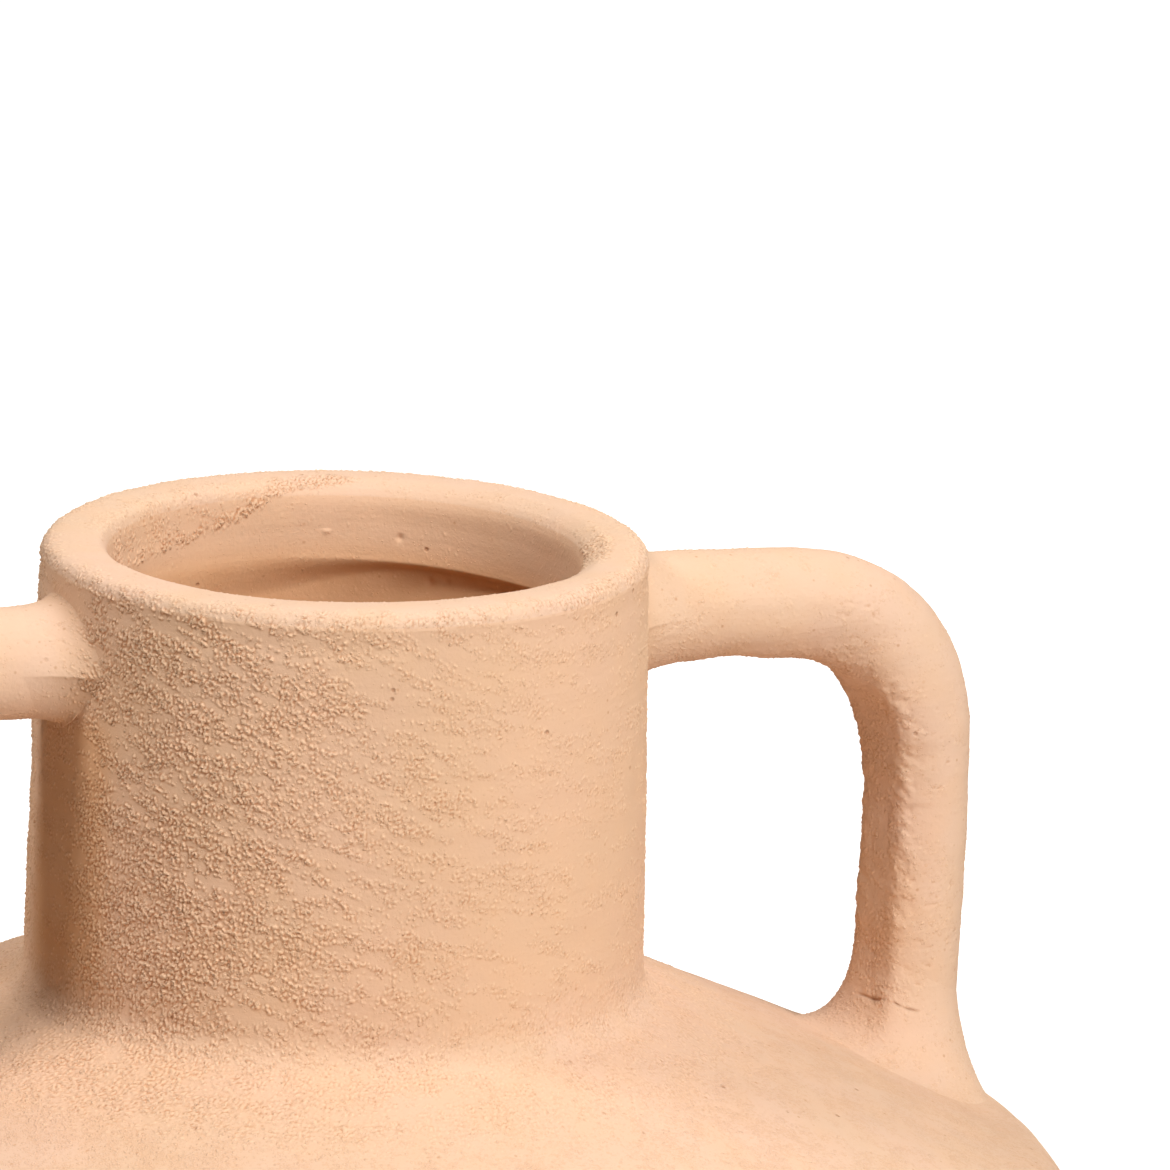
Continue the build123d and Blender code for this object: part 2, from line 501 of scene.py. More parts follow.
def body_sand(points, inside):
    """Share of grains left standing on the body, how bold they are, and how raw the clay is together with
    painted shade, from 0 to 1.
    """
    patches = layered(points, 16, 35)
    clumps = layered(points, (4, 4, 2.4), 38, 2)
    depth = vase_height - points[..., 2]
    radius, azimuth = radius_of(points), azimuth_of(points)
    share, grit, raw_clay_and_shade = skin_sand(points, patches, clumps)
    rough = rough_patch(azimuth, depth, radius)
    rim_top = (depth < 2.8 * mm) & (radius > 46 * mm)
    on_edge = ramp(54 * mm, 60 * mm, radius)
    clump_edge = bell(angle_gap(azimuth, bold_edge_azimuth), 0, 14) * ramp(54 * mm, 52 * mm, radius)
    share = np.where(rim_top, 0.10 + 0.45 * on_edge + 0.5 * clumps + 0.9 * clump_edge + rough, share)
    grit = np.where(rim_top, 0.40 + 0.35 * on_edge + 0.6 * clump_edge + 0.5 * rough, grit)
    raw_clay_and_shade = np.where(rim_top, 0.0, raw_clay_and_shade)
    within = inside | ((radius < 51 * mm) & (points[..., 2] > neck_foot) & ~rim_top)
    rough = np.where(depth < 20 * mm, rough, 0)
    share = np.where(within, 0.06 + 0.2 * patches + rough * (1 + 1.6 * clumps), share)
    grit = np.where(within, 0.35 + 0.65 * np.sqrt(rough), grit)
    # Inside the mouth the clay is coloured darker and redder from 10 to 18 mm down
    raw_clay_and_shade = np.where(within, 0.3 + 0.6 * ramp(10 * mm, 18 * mm, depth), raw_clay_and_shade)
    return np.clip(share, 0, 1), np.clip(grit, 0, 1), raw_clay_and_shade


def body_bulge(points):
    """How far the body's turn stands out beyond its plain arc, most of all in front of the right handle."""
    radius = radius_of(points)
    azimuth = azimuth_of(points)
    in_front = ramp(14, 2, azimuth) * ramp(-60, -30, azimuth)
    lump = 0.7 * in_front * bell(radius, 145 * mm, 6 * mm)
    bulge = 0.9 * ramp(132 * mm, 144 * mm, radius) + lump
    return bulge * mm * ramp(110 * mm, 190 * mm, points[..., 2])


# Pocks and a crumb inside the mouth: azimuth, and depth, size and height in millimetres
mouth_pocks = (
    (47.2, 20.2, 0.8, -0.7), (43.1, 19.8, 0.7, -0.6), (72.0, 9.5, 0.9, 0.5), (53.6, 10.9, 0.7, -0.45),
)


def edge_wear(points):
    """How far the mouth's inner edge is worn back, mostly on the right of the photograph's view."""
    depth = vase_height - points[..., 2]
    radius = radius_of(points)
    worn = ramp(100, 40, np.abs(angle_gap(azimuth_of(points), 15)))
    near = bell(depth, mm, 2.6 * mm) * ramp(52 * mm, 48.5 * mm, radius)
    return -0.9 * mm * worn * near


def mouth_marks(points):
    """How the wall inside the mouth was pressed back under its wiped band, and pocked, in metres."""
    depth = (vase_height - points[..., 2]) / mm
    azimuth = azimuth_of(points)
    from_right = np.abs(angle_gap(azimuth, 30))
    softness = 2.2 + 8 * ramp(15, 70, from_right)
    edge = ledge_depth / mm + 0.5 * np.sin(np.radians(3 * azimuth))
    back = ramp(0, 1, (depth - edge) / softness) * (1 - ramp(ledge_foot / mm, 70, depth))
    marks = -ledge_reach * back * (1 - 0.75 * ramp(40, 100, from_right))
    for angle, down, size, height in mouth_pocks:
        across = np.radians(angle_gap(azimuth, angle)) * mouth_wall / mm
        marks += height * mm * np.exp(-(across**2 + (depth - down) ** 2) / size**2)
    return marks


def grid_normals(points):
    """Normals of a closed band of rings, from its own slopes."""
    around = np.roll(points, -1, axis=1) - np.roll(points, 1, axis=1)
    return unit(np.cross(around, slopes(points)))


def new_object(name, data):
    """A Blender object in the scene."""
    thing = bpy.data.objects.new(name, data)
    bpy.context.scene.collection.objects.link(thing)
    return thing


# The looks carry painted light too: the grains' painted highlights and shade, and painted shade in the raw
# clay and in the crack
look_names = ("sand", "grit", "grain_light_and_shade", "raw_clay_and_shade", "crack_and_shade")


class ClayMesh:
    """One closed piece of clay, gathered band by band."""

    def __init__(self):
        self.points = []
        self.looks = []
        self.corners = []
        self.corner_normals = []
        self.corner_places = []
        self.sizes = []
        self.count = 0

    def add_points(self, points, looks=0.0):
        numbers = self.count + np.arange(len(points))
        self.count += len(points)
        self.points.append(points)
        self.looks.append(np.broadcast_to(looks, (len(points), len(look_names))))
        return numbers

    def add_faces(self, corners, normals, places):
        self.corners.append(corners.reshape(-1))
        self.corner_normals.append(normals.reshape(-1, 3))
        self.corner_places.append(places.reshape(-1, 2))
        self.sizes.append(np.full(len(corners), corners.shape[1]))

    def band(self, points, normals, low, high, looks=0.0):
        """Adds rings joined into a band, between two heights of the bake map, and gives their numbers."""
        rows, around = points.shape[:2]
        looks = np.broadcast_to(looks, (rows, around, len(look_names))).reshape(-1, len(look_names))
        numbers = self.add_points(points.reshape(-1, 3), looks).reshape(rows, around)
        u = np.arange(around + 1) / around
        v = low + (high - low) * np.arange(rows) / (rows - 1)

        def quads(values):
            after = np.roll(values, -1, axis=1)
            return np.stack([values[:-1], after[:-1], after[1:], values[1:]], axis=2)

        place_u = np.stack([u[:-1], u[1:], u[1:], u[:-1]], axis=1)[None].repeat(rows - 1, axis=0)
        place_v = np.stack([v[:-1], v[:-1], v[1:], v[1:]], axis=1)[:, None].repeat(around, axis=1)
        places = np.stack([place_u, place_v], axis=3)
        self.add_faces(quads(numbers).reshape(-1, 4), quads(normals), places)
        return numbers

    def link(self, first, second, low, high):
        """Joins two rings with a flat hidden band."""
        all_points = np.vstack(self.points)
        corners = np.stack([first, np.roll(first, -1), np.roll(second, -1), second], axis=1)
        a, b, c, d = (all_points[corners[:, i]] for i in range(4))
        normals = unit(np.cross(c - a, d - b))
        u = np.arange(len(first) + 1) / len(first)
        places = np.stack([
            np.stack([u[:-1], u[1:], u[1:], u[:-1]], axis=1),
            np.broadcast_to([low, low, high, high], (len(first), 4)),
        ], axis=2)
        self.add_faces(corners, normals[:, None].repeat(4, axis=1), places)

    def cap(self, ring, centre, normal, closes_end, low, high):
        """Closes a ring with a fan round one middle point."""
        middle = self.add_points(np.array([centre]))[0]
        after = np.roll(ring, -1)
        middles = np.full(len(ring), middle)
        order = [ring, after, middles] if closes_end else [middles, after, ring]
        u = np.arange(len(ring) + 1) / len(ring)
        tops = (u[:-1] + u[1:]) / 2
        across = [u[:-1], u[1:], tops] if closes_end else [tops, u[1:], u[:-1]]
        up = [low, low, high] if closes_end else [high, low, low]
        places = np.stack([np.stack(across, axis=1), np.broadcast_to(up, (len(ring), 3))], axis=2)
        normals = np.broadcast_to(normal, (len(ring), 3, 3))
        self.add_faces(np.stack(order, axis=1), normals, places)

    def make(self, node):
        """Makes the Blender object, which stands for the named node."""
        name = node + "_clay"
        mesh = bpy.data.meshes.new(name)
        corners = np.concatenate(self.corners)
        sizes = np.concatenate(self.sizes)
        mesh.vertices.add(self.count)
        mesh.vertices.foreach_set("co", np.vstack(self.points).astype(np.float32).ravel())
        mesh.loops.add(len(corners))
        mesh.loops.foreach_set("vertex_index", corners.astype(np.int32))
        mesh.polygons.add(len(sizes))
        mesh.polygons.foreach_set("loop_start", (np.cumsum(sizes) - sizes).astype(np.int32))
        places = mesh.uv_layers.new(name="OFBake")
        places.data.foreach_set("uv", np.vstack(self.corner_places).astype(np.float32).ravel())
        looks = np.vstack(self.looks).astype(np.float32)
        for i, label in enumerate(look_names):
            attribute = mesh.attributes.new(label, "FLOAT", "POINT")
            attribute.data.foreach_set("value", np.ascontiguousarray(looks[:, i]))
        mesh.update(calc_edges=True)
        mesh.polygons.foreach_set("use_smooth", np.ones(len(sizes), bool))
        mesh.normals_split_custom_set(np.vstack(self.corner_normals).astype(np.float32))
        mesh.materials.append(clay)
        piece = new_object(name, mesh)
        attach(piece, "root")
        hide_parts(node)


# Clay material


class Nodes:
    """Adds shader nodes to a material or world, emptied first, and links them."""

    def __init__(self, holder):
        holder.use_nodes = True
        self.tree = holder.node_tree
        self.tree.nodes.clear()

    def add(self, kind, inputs=(), **settings):
        node = self.tree.nodes.new("ShaderNode" + kind)
        for key, value in settings.items():
            setattr(node, key, value)
        for key, value in dict(inputs).items():
            if isinstance(value, bpy.types.NodeSocket):
                self.tree.links.new(value, node.inputs[key])
            else:
                node.inputs[key].default_value = value
        return node

    def math(self, operation, first, second):
        return self.add("Math", {0: first, 1: second}, operation=operation).outputs[0]

    def times(self, first, second):
        return self.math("MULTIPLY", first, second)

    def ramp(self, value, low, high, start=0.0, end=1.0):
        """A smooth step from start to end as value goes from low to high."""
        inputs = {"Value": value, "From Min": low, "From Max": high, "To Min": start, "To Max": end}
        return self.add("MapRange", inputs, interpolation_type="SMOOTHSTEP").outputs["Result"]

    def mix(self, factor, first, second):
        return self.add("Mix", {0: factor, 6: first, 7: second}, data_type="RGBA").outputs[2]

    def attribute(self, name):
        return self.add("Attribute", attribute_name=name).outputs["Fac"]

    def scattered(self, where, spacing):
        """Distance to the nearest scattered point, in spacings, and that point's random number."""
        node = self.add("TexVoronoi", {"Vector": where, "Scale": 1 / spacing})
        chance = self.add("SeparateColor", {"Color": node.outputs["Color"]}).outputs[0]
        return node.outputs["Distance"], chance

    def grains(self, where, spacing, sand):
        """Round grains, present in a share of their places, and the ring about each, which carries painted
        shade into the crevices, each from 0 to 1.
        """
        distance, chance = self.scattered(where, spacing)
        present = self.ramp(self.math("SUBTRACT", sand, chance), 0.0, 0.12)
        dome = self.ramp(distance, 0.05, 0.5, 1.0, 0.0)
        ring = self.times(self.ramp(distance, 0.3, 0.5), self.ramp(distance, 0.5, 0.8, 1.0, 0.0))
        return self.times(present, dome), self.times(present, ring)

    def cloud(self, where, size, detail=2.0):
        node = self.add("TexNoise", {"Vector": where, "Scale": 1 / size, "Detail": detail})
        return node.outputs["Fac"]


def linear(red, green, blue):
    """A colour given as it looks on screen, from 0 to 255."""
    def convert(value):
        share = value / 255
        return share / 12.92 if share <= 0.04045 else ((share + 0.055) / 1.055) ** 2.4
    return (convert(red), convert(green), convert(blue), 1)


def make_clay():
    """Unglazed terracotta: a fine smooth skin, with sand grains standing out of it where it isn't wiped."""
    material = bpy.data.materials.new("sandy_terracotta_clay")
    n = Nodes(material)
    where = n.add("TexCoord").outputs["Object"]
    sand, grit, grain_light_and_shade, raw_clay_and_shade, crack_and_shade = (n.attribute(name) for name in look_names)
    grain, crevice_shade = n.grains(where, 0.75 * mm, sand)
    fine_grain, fine_crevice_shade = n.grains(where, 0.45 * mm, n.math("ADD", sand, 0.1))
    pit_distance, pit_chance = n.scattered(where, 6.5 * mm)
    pit = n.times(n.ramp(pit_chance, 0.55, 0.9), n.ramp(pit_distance, 0.03, 0.10, 1.0, 0.0))
    tooth = n.cloud(where, 0.8 * mm, 4.0)
    stretched = n.add("Mapping", {"Vector": where, "Scale": (1, 1, 14)}).outputs[0]
    brushed = n.cloud(stretched, 22 * mm, 3.0)

    height = n.times(n.times(grain, grit), 0.24)
    for part, amount in ((fine_grain, 0.08), (pit, -0.25), (tooth, 0.10), (brushed, 0.08), (crack_and_shade, -0.3)):
        height = n.math("ADD", height, n.times(part, amount))
    bump = n.add("Bump", {"Height": height, "Strength": 1.0, "Distance": mm})

    broad = n.ramp(n.cloud(where, 45 * mm, 3.0), 0.35, 0.65)
    colour = n.mix(broad, linear(225, 190, 160), linear(228, 191, 164))
    patches = n.ramp(n.cloud(where, 9 * mm, 4.0), 0.35, 0.7)
    fleck_distance, fleck_chance = n.scattered(where, 2.6 * mm)
    fleck = n.times(n.ramp(fleck_chance, 0.70, 0.9), n.ramp(fleck_distance, 0.06, 0.18, 1.0, 0.0))
    # Painted shade in the crevices round the grains
    painted_crevice_shade = n.math("MAXIMUM", crevice_shade, n.times(fine_crevice_shade, 0.6))
    for amount, tint in (
        # Darker, redder clay: partly the clay's own colour, partly painted shade under the left arm and at
        # the neck's foot
        (raw_clay_and_shade, (220, 170, 126)),
        (n.times(patches, 0.3), (229, 186, 148)),
        (n.times(fleck, 0.5), (190, 134, 96)),
        (n.times(painted_crevice_shade, 0.25), (206, 150, 106)),
        # Painted shade in the crevices between grains, and painted highlights on the grain tops
        (n.ramp(grain_light_and_shade, -0.9, -0.1, 0.6, 0.0), (184, 120, 76)),
        (n.ramp(grain_light_and_shade, 0.0, 1.0, 0.0, 0.35), (246, 211, 172)),
        (n.times(pit, 0.6), (184, 128, 92)),
        # Painted shade darkens the crack and the spot on it
        (n.times(crack_and_shade, 0.8), (140, 86, 56)),
    ):
        colour = n.mix(amount, colour, linear(*tint))

    shader = n.add("BsdfPrincipled", {
        "Base Color": colour,
        "Roughness": n.ramp(tooth, 0.3, 0.7, 0.82, 0.95),
        "Specular IOR Level": 0.05,
        "Normal": bump.outputs[0],
    })
    n.add("OutputMaterial", {"Surface": shader.outputs[0]})
    return material


clay = make_clay()


# The body's five pieces


coarse_pieces = ("base_slab", "lower_belly")

# Heights that the bands of a body piece take up in its bake map
outside_map = (0.0, 0.66)
inside_map = (0.67, 0.93)
underside_map = (0.93, 0.95)
floor_map = (0.95, 0.97)
lower_seam_map = (0.94, 0.96)
upper_seam_map = (0.97, 1.0)


def make_body():
    points, normals, looks, spans = body_grid()
    last = len(points) - 1
    outside = {name: (low, min(high, last)) for name, low, high in spans[:outer_count]}
    inside = {name: (low, min(high, last)) for name, low, high in spans[outer_count:]}
    for name, (low, high) in outside.items():
        clay_mesh = ClayMesh()
        skip = 2 if name in coarse_pieces else 1

        def band(rows, places):
            pick = (slice(rows[0], rows[1] + 1), slice(None, None, skip))
            return clay_mesh.band(points[pick], normals[pick], *places, looks[pick])

        outer = band((low, high), outside_map)
        if name == "rim":
            clay_mesh.link(outer[-1], outer[0], *upper_seam_map)
        else:
            inner = band(inside[name], inside_map)
            if name == "base_slab":
                clay_mesh.cap(outer[0], (0, 0, 0), (0, 0, -1), False, *underside_map)
                clay_mesh.cap(inner[-1], (0, 0, slab_top), (0, 0, 1), True, *floor_map)
            else:
                clay_mesh.link(inner[-1], outer[0], *lower_seam_map)
            clay_mesh.link(outer[-1], inner[0], *upper_seam_map)
        clay_mesh.make(name)


make_body()


# Handles and their collars, made on the right and turned half round for the left

around_rod = 200
around_collar = 300
facet_offset = 9.1 * mm
facet_angle = math.radians(13)
facet_start = 0.25

# The rod's radius, and how far its inside stands out beyond that, by the way past the arm in bend lengths
rod_turns = (0, 0.25, 0.5, 0.75, 1)
rod_radii = [radius * mm for radius in (11.1, 11.7, 12.0, 11.5, 11.0)]
inner_turns = (0, 0.2, 0.35, 0.5, 0.65, 0.8, 0.95, 1.05, 1.25)
inner_fills = [fill * mm for fill in (0, -0.9, -0.8, 0.1, 1.0, 1.1, 0.8, 0.2, -0.6)]
on_leg_turn = 1.5
neck_lip = 13 * mm
foot_lip = 23 * mm
foot_flare = 14.4 * mm
lip_sunk = 0.15 * mm
edge_sunk = 0.25 * mm
finger_dent_radius = 83 * mm

# Width of a neck collar's skirt at its sides, and how much less it is above and below the arm
neck_flare_right = (7.5 * mm, 5.5 * mm, 4 * mm)
neck_flare_left = (8 * mm, 6 * mm, 6.5 * mm)

# Distance from the vase's axis and rise of the right arm's middle line, in millimetres
arm_rise = ((60, 0.9), (75, 0.6), (85, 0.2), (97, -0.4), (104, -0.8), (115, -0.5), (128, 0))
left_rise_share = -0.4


def turned(vectors, side):
    """The same vectors for the right handle, and turned half round the vase's axis for the left."""
    return vectors * np.array([side, side, 1])


def handle_route(step):
    """Places, directions and the way past the arm, in lengths of the bend, along the rod's middle line."""
    arm_start = throat_radius + 4 * mm
    bend_x = leg_axis - bend_radius
    bend_z = arm_axis - bend_radius
    foot = float(shoulder_skin(leg_axis, 0.0)) - 6 * mm
    arm = line((arm_start, arm_axis), (bend_x, arm_axis), step)
    bend = arc((bend_x, bend_z), bend_radius, math.pi / 2, 0, step)
    leg = line((leg_axis, bend_z), (leg_axis, foot), step)
    route = np.vstack([arm, bend, leg, [(leg_axis, foot)]])
    tangents = unit(slopes(route))
    passed = np.concatenate([[0], np.cumsum(np.linalg.norm(np.diff(route, axis=0), axis=1))])
    return route, tangents, (passed - (bend_x - arm_start)) / (bend_radius * math.pi / 2)


def rod_reach(way, angles):
    """The rod's radius, by the way past the arm, in lengths of the bend, and the angle round it.

    Angle 0 is on the outside of the bend, and the inner face of the leg is pressed flat."""
    reach = np.interp(way, rod_turns, rod_radii)[:, None] * np.ones_like(angles)[None, :]
    toward = np.cos(angles - math.pi + facet_angle)
    flat = np.where(toward > 0.3, facet_offset / np.maximum(toward, 0.3), 1.0)
    pressed = (reach**-20 + flat[None, :] ** -20) ** (-1 / 20)
    weight = ramp(facet_start, 0.75, way)[:, None]
    fill = np.interp(way, inner_turns, inner_fills)[:, None] * ramp(-0.2, 0.7, toward)[None, :]
    return reach + (pressed - reach) * weight + fill


def make_handle(name, side):
    route, tangents, down = handle_route(0.35 * mm)
    angles = ring_angles(around_rod)
    reach = rod_reach(down, angles)
    away = np.stack([-tangents[:, 1], np.zeros(len(tangents)), tangents[:, 0]], axis=1)
    sideways = np.broadcast_to([0.0, -1.0, 0.0], away.shape)
    across, along = np.sin(angles)[None, :, None], np.cos(angles)[None, :, None]
    radial = away[:, None] * along + sideways[:, None] * across
    middle = np.stack([route[:, 0], np.zeros(len(route)), route[:, 1]], axis=1)
    points = middle[:, None] + radial * reach[:, :, None]
    points, radial = turned(points, side), turned(radial, side)
    sand, grit = handle_sand(points, radial)
    grain_height = scattered_grains(points, sand, grit, 61)
    past_lip = past_collars(points, np.cos(angles), side)
    height = relief(points) - handle_dents(points, angles, down) * ramp(0, 8 * mm, past_lip)
    fine_height = grain_height - scuffs(points)
    height += fine_height - 1.2 * mm * (1 - ramp(-4.5 * mm, -2 * mm, past_lip))
    points = settled(points + radial * height[:, :, None], side)
    rod = ClayMesh()
    looks = look_values(0.5 * sand, grit, grain_light_and_shade_mask(fine_height))
    rings = rod.band(points, grid_normals(points), 0.0, 0.9, looks)
    start, end = points[0].mean(axis=0), points[-1].mean(axis=0)
    start_normal = turned(np.array([-1.0, 0, 0]), side)
    rod.cap(rings[0], start, start_normal, False, 0.92, 0.95)
    rod.cap(rings[-1], end, (0, 0, -1), True, 0.96, 0.99)
    rod.make(name)


def settled(points, side):
    """The points with the arm raised and lowered along its way, and the leg leaning in towards its foot."""
    out = np.abs(points[..., 0])
    curve = through([(far * mm, up * mm) for far, up in arm_rise], 0.5 * mm)
    rise = np.interp(out, curve[:, 0], curve[:, 1]) * (1 if side > 0 else left_rise_share)
    height = points[..., 2]
    outward = 0.4 * mm * ramp(303 * mm, 284 * mm, height)
    lean = outward - 0.6 * mm * ramp(272 * mm, 240 * mm, height)
    lean = side * lean * ramp(leg_axis - bend_radius, leg_axis - 4 * mm, out)
    return points + np.stack([lean, 0 * lean, rise], axis=2)


def handle_sand(points, radial):
    """Few grains on the wiped handles, and more on their undersides, with how bold they are."""
    patches = layered(points, 12, 51)
    clumps = layered(points, 3, 54, 2)
    under = ramp(0.1, 0.9, -radial[..., 2])
    inner = ramp(0.1, 0.8, -radial[..., 0] * np.sign(points[..., 0]))
    bare = np.maximum(under, inner)
    return np.clip(0.12 + 0.25 * bare + 0.5 * patches + 0.5 * clumps, 0, 1), 0.40 + 0.15 * bare


def scuffs(points):
    """Depth of the small pits and scratches left where the handles were wiped, in patches, in metres."""
    patches = ramp(0.0, 0.5, layered(points, 11, 57, 2))
    pits = ramp(-0.1, 0.7, layered(points, (2.2, 2.2, 1.3), 58, 3))
    return 0.12 * mm * patches * pits


def handle_dents(points, angles, down):
    """Depth of the finger dents beside the pressed face and under the arm, in metres."""
    dents = layered(points, (3.4, 3.4, 2.2), 55, 2)
    from_face = np.degrees(np.arccos(np.cos(angles - math.pi + facet_angle)))
    lumps = layered(points, (2.2, 2.2, 1.8), 56, 2)
    beside = bell(from_face, 40, 15)[None, :] * ramp(0.2, 0.8, down)[:, None]
    on_arm = (1 - ramp(0.2, 0.6, down))[:, None]
    below = ramp(0.3, 1.0, np.cos(angles - math.pi))[None, :] * on_arm
    finger = bell(np.abs(points[..., 0]), finger_dent_radius, 7 * mm)
    rough = (0.05 + 0.30 * beside + 0.20 * below) * dents + (0.04 + 0.35 * beside + 0.10 * below) * lumps
    return mm * (rough + 0.75 * below * finger)


def neck_lip_at(up, side):
    """How far a neck collar reaches out along the arm, by how far up or down its side faces."""
    below = mm if side > 0 else -5 * mm
    return neck_lip - 2 * mm * np.clip(up, 0, 1) + below * np.clip(-up, 0, 1)


def foot_lip_at(outward):
    """How far a foot collar reaches up the leg, by how far out from the neck its side faces."""
    return foot_lip - mm * outward


def past_collars(points, outward, side):
    """How far along the rod a place lies past the nearest collar's lip, and below 0 where it is hidden."""
    radius = np.abs(points[..., 0])
    past_neck = radius - neck_top_radius - neck_lip_at(outward, side)
    above_foot = points[..., 2] - shoulder_skin(points[..., 0], points[..., 1])
    on_leg = radius > leg_axis - 2 * rod_radius
    return np.minimum(past_neck, np.where(on_leg, above_foot - foot_lip_at(outward), 1.0))


def blended(start, middle, end, ease, step):
    """Rows of points on curves from start to end that bend towards middle, less so with more ease."""
    middle = middle + (0.5 * (start + end) - middle) * ease[:, None]
    length = np.linalg.norm(middle - start, axis=1) + np.linalg.norm(end - middle, axis=1)
    count = steps_between(float(length.max()), step)
    t = (np.arange(count + 1) / count)[:, None, None]
    return start * (1 - t) ** 2 + 2 * middle * t * (1 - t) + end * t**2


def make_collar(name, side, skin_lines, buried_end, buried_start, marks):
    """A collar whose skin runs from the rod to the body, closed by hidden rings in the clay behind it."""
    points = blended(*skin_lines, 0.3 * mm)
    smooth = grid_normals(points)
    points, smooth = turned(points, side), turned(smooth, side)
    rod_sand, rod_grit = handle_sand(points, smooth)
    sand, grit, raw_clay_and_shade = body_sand(points, False)
    share = ramp(0.3, 0.85, np.linspace(0, 1, len(points)))[:, None]
    sand = rod_sand + (sand - rod_sand) * share
    grit = rod_grit + (grit - rod_grit) * share
    grain_height = scattered_grains(points, sand, grit, 62)
    extra, crack_and_shade = marks(turned(points, side))
    fine_height = grain_height - scuffs(points) * (1 - share)
    points = settled(points + smooth * (relief(points) + extra + fine_height)[:, :, None], side)
    looks = look_values(0.5 * sand, grit, grain_light_and_shade_mask(fine_height), raw_clay_and_shade * share, crack_and_shade)
    clay_mesh = ClayMesh()
    skin = clay_mesh.band(points, grid_normals(points), 0.0, 0.85, looks)
    back = np.stack([turned(buried_end, side), turned(buried_start, side)])
    back_rings = clay_mesh.band(back, grid_normals(back), 0.90, 0.93)
    clay_mesh.link(skin[-1], back_rings[0], 0.87, 0.89)
    clay_mesh.link(back_rings[-1], skin[0], 0.95, 0.97)
    clay_mesh.make(name)


def make_neck_collar(name, side):
    angles = -ring_angles(around_collar)
    up = np.sin(angles)
    reach = rod_reach(np.zeros(1), angles)[0]
    top, bottom = np.clip(up, 0, 1), np.clip(-up, 0, 1)
    wide, less_above, less_below = neck_flare_right if side > 0 else neck_flare_left
    flare = wide - less_above * top - less_below * np.sqrt(bottom)
    length = neck_lip_at(up, side)

    def on_neck(distance, sunk=0.0):
        across = distance * np.cos(angles)
        height = arm_axis + distance * up
        wall = np.minimum(neck_radius(height), neck_top_radius + mm) - sunk
        return np.stack([np.sqrt(wall**2 - across**2), across, height], axis=1)

    middle = on_neck(reach)
    start = on_neck(reach - lip_sunk)
    start[:, 0] = neck_top_radius + length
    end = on_neck(reach + flare, edge_sunk)
    buried_end = on_neck(reach + flare - mm, 3 * mm)
    buried_start = on_neck(reach - 3 * mm, 3 * mm)
    buried_start[:, 0] = neck_top_radius + 4 * mm

    def marks(plain):
        """A thin edge of clay left standing under the left arm, where it was smeared onto the neck."""
        if side > 0:
            return np.zeros(plain.shape[:2]), 0.0
        along = np.linspace(0, 1, len(plain))[:, None]
        under = ramp(0.45, 0.85, -up)[None, :]
        edge = bell(along, 0.86, 0.07) - bell(along, 0.99, 0.05)
        return mm * edge * under, 0.0

    ease = 0.3 - 0.15 * top + 0.15 * bottom
    make_collar(name, side, (start, middle, end, ease), buried_end, buried_start, marks)


# Height of the thin crack on the foot collar, by the angle about the leg
crack_angles = (-175, -156, -146, -134, -125, -117, -104, -90, -72)
crack_heights = [up * mm for up in (236.8, 236.7, 236.9, 237.3, 236.8, 235.9, 235.1, 233.9, 232.8)]
crack_half_width = 0.24 * mm
spot_angle = -149
spot_height = 236.8 * mm


def make_foot_collar(name, side):
    angles = -ring_angles(around_collar)
    outward = np.cos(angles)
    reach = rod_reach(np.full(1, on_leg_turn), -angles)[0]
    flare = foot_flare - 2.4 * mm * outward
    length = foot_lip_at(outward)

    def on_shoulder(distance, sunk=0.0):
        x = leg_axis + distance * np.cos(angles)
        y = distance * np.sin(angles)
        return np.stack([x, y, shoulder_skin(side * x, y) - sunk], axis=1)

    middle = on_shoulder(reach)
    start = on_shoulder(reach - lip_sunk)
    start[:, 2] = middle[:, 2] + length
    end = on_shoulder(reach + flare, edge_sunk)
    buried_end = on_shoulder(reach + flare - mm, 3 * mm)
    buried_start = on_shoulder(reach - 3 * mm, -2 * mm)

    def marks(plain):
        """A thin crack where the leg was set on the shoulder, open on the side that was pressed least, with a
        spot on it: its depth, and how strongly it is dented and darkened with painted shade.
        """
        around = np.degrees(np.arctan2(plain[..., 1], plain[..., 0] - leg_axis))
        level = np.interp(around, crack_angles, crack_heights)
        level += 0.15 * mm * noise(plain, 3, 71)
        broken = ramp(-0.35, 0.25, layered(plain, 3, 73, 2))
        opened = ramp(-178, -168, around) * (1 - ramp(-80, -66, around)) * broken
        from_spot = ((around - spot_angle) / 6) ** 2 + ((plain[..., 2] - spot_height) / (0.8 * mm)) ** 2
        spot = np.exp(-from_spot)
        crack_and_shade = np.clip(0.6 * bell(plain[..., 2], level, crack_half_width) * opened + 0.5 * spot, 0, 1)
        return -0.3 * mm * crack_and_shade, crack_and_shade

    ease = 0.21 + 0.09 * outward
    make_collar(name, side, (start, middle, end, ease), buried_end, buried_start, marks)


for label, side in (("right", 1), ("left", -1)):
    make_handle(label + "_handle", side)
    make_neck_collar(label + "_neck_collar", side)
    make_foot_collar(label + "_foot_collar", side)


# Floor, surroundings and lights


def camera_only(tree_nodes):
    """1 for what the camera sees, directly or in a reflection, and 0 for light that falls on the object."""
    path = tree_nodes.add("LightPath")
    seen = tree_nodes.math("MAXIMUM", path.outputs["Is Camera Ray"], path.outputs["Is Glossy Ray"])
    return tree_nodes.math("MAXIMUM", seen, path.outputs["Is Transmission Ray"])


floor_reach = 14.0
floor_level = -0.2 * mm
floor_colour = (0.45, 0.42, 0.39, 1)
white = (1, 1, 1, 1)
world_fill = 0.025


